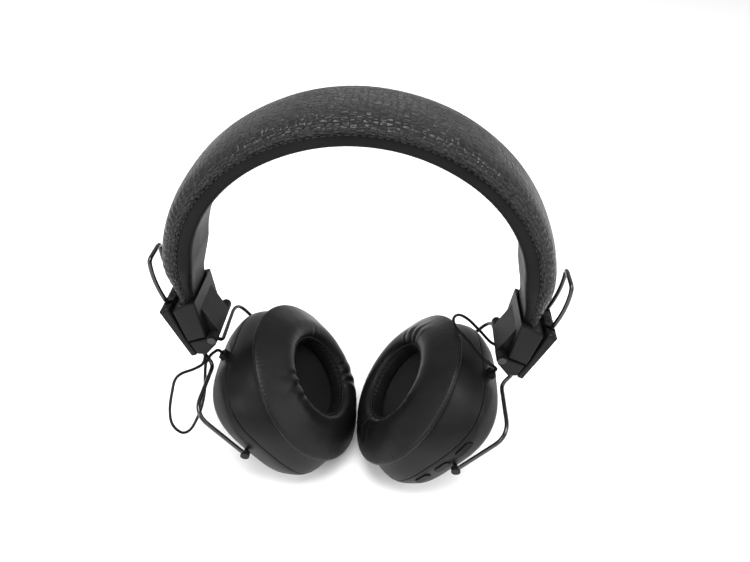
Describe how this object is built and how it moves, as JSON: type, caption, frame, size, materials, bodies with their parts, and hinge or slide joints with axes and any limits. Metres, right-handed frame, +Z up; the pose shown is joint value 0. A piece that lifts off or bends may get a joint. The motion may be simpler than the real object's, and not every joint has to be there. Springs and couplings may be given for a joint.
{
  "type": "folding on-ear headset",
  "caption": "Folding padded headset: cushioned headband, sliding wire yokes on fold hinges and tilting round ear cups with soft ring pads.",
  "frame": {"origin": "on the surface it stands on, midway between the two cups and between their front and back", "axes": "+Z up from the cups to the top of the headband, X from ear to ear with the right ear at +X, -Y towards the front face of the headset as worn"},
  "size_m": [0.1898, 0.083, 0.197],
  "materials": {
    "grain": "pebbled matte",
    "lining": "soft matte",
    "foam": "matte",
    "steel": "satin",
    "shell": "fine matte texture",
    "wire": "gloss black coating",
    "leather": "soft satin",
    "cloth": "matte",
    "rubber": "matte",
    "magnet": "satin",
    "board": "matte",
    "film": "satin",
    "cell": "satin"
  },
  "bodies": {
    "headband": {"headband_cover": "grain", "headband_foam": "foam", "headband_lining": "lining", "spring_band": "steel", "left_collar": "shell", "right_collar": "shell", "left_hinge_pin": "steel", "right_hinge_pin": "steel"},
    "right_block": {"right_block_body": "shell", "right_block_plate": "shell", "right_leaf_spring": "steel", "right_block_dowel": "steel", "right_cable_upper": "rubber"},
    "right_yoke": {"right_wire_yoke": "wire", "right_pivot_cap_front": "shell", "right_pivot_cap_back": "shell"},
    "right_cup": {"right_housing": "shell", "right_outer_cover": "shell", "right_ear_pad": "leather", "right_pad_foam": "foam", "right_pad_ring": "rubber", "right_baffle": "rubber", "right_grille_cloth": "cloth", "right_driver_frame": "rubber", "right_diaphragm": "film", "right_magnet": "magnet", "right_cable_gland": "rubber", "right_cable_lower": "rubber", "right_circuit_board": "board"},
    "left_block": {"left_block_body": "shell", "left_block_plate": "shell", "left_leaf_spring": "steel", "left_block_dowel": "steel", "left_cable_upper": "rubber"},
    "left_yoke": {"left_wire_yoke": "wire", "left_pivot_cap_front": "shell", "left_pivot_cap_back": "shell"},
    "left_cup": {"left_housing": "shell", "left_outer_cover": "shell", "left_ear_pad": "leather", "left_pad_foam": "foam", "left_pad_ring": "rubber", "left_baffle": "rubber", "left_grille_cloth": "cloth", "left_driver_frame": "rubber", "left_diaphragm": "film", "left_magnet": "magnet", "left_cable_gland": "rubber", "left_cable_lower": "rubber", "left_battery": "cell"},
    "right_button_1": {"right_button_1": "rubber"},
    "right_button_2": {"right_button_2": "rubber"},
    "right_button_3": {"right_button_3": "rubber"}
  },
  "joints": [
    {"name": "right_fold", "type": "hinge", "parent": "headband", "child": "right_block", "pos_m": [0.0665, 0, 0.08288], "axis": [0, 1, 0], "range_deg": [-2, 109], "deforming": ["left_ear_pad", "left_pad_foam", "right_ear_pad", "right_pad_foam"]},
    {"name": "right_length", "type": "slide", "parent": "right_block", "child": "right_yoke", "axis": [-0.3587, 0, -0.9334], "range_m": [-0.0035, 0.015], "deforming": ["right_cable_upper", "right_cable_lower", "left_ear_pad", "left_pad_foam", "right_ear_pad", "right_pad_foam"]},
    {"name": "right_tilt", "type": "hinge", "parent": "right_yoke", "child": "right_cup", "pos_m": [0.0503, 0, 0.03317], "axis": [0, 1, 0], "range_deg": [-7, 7], "deforming": ["right_cable_upper", "right_cable_lower", "left_ear_pad", "left_pad_foam", "right_ear_pad", "right_pad_foam"]},
    {"name": "left_fold", "type": "hinge", "parent": "headband", "child": "left_block", "pos_m": [-0.0665, 0, 0.08288], "axis": [0, 1, 0], "range_deg": [-109, 2], "deforming": ["left_ear_pad", "left_pad_foam", "right_ear_pad", "right_pad_foam"]},
    {"name": "left_length", "type": "slide", "parent": "left_block", "child": "left_yoke", "axis": [-0.3587, 0, 0.9334], "range_m": [-0.015, 0.0035], "deforming": ["left_cable_upper", "left_cable_lower", "left_ear_pad", "left_pad_foam", "right_ear_pad", "right_pad_foam"]},
    {"name": "left_tilt", "type": "hinge", "parent": "left_yoke", "child": "left_cup", "pos_m": [-0.0503, 0, 0.03317], "axis": [0, 1, 0], "range_deg": [-7, 7], "deforming": ["left_cable_upper", "left_cable_lower", "left_ear_pad", "left_pad_foam", "right_ear_pad", "right_pad_foam"]},
    {"name": "right_button_1_press", "type": "slide", "parent": "right_cup", "child": "right_button_1", "axis": [0, 1, 0], "range_m": [0, 0.0006], "stiffness_N_per_m": 1500, "springref_m": -0.0005},
    {"name": "right_button_2_press", "type": "slide", "parent": "right_cup", "child": "right_button_2", "axis": [0, 1, 0], "range_m": [0, 0.0006], "stiffness_N_per_m": 1500, "springref_m": -0.0005},
    {"name": "right_button_3_press", "type": "slide", "parent": "right_cup", "child": "right_button_3", "axis": [0, 1, 0], "range_m": [0, 0.0006], "stiffness_N_per_m": 1500, "springref_m": -0.0005}
  ]
}
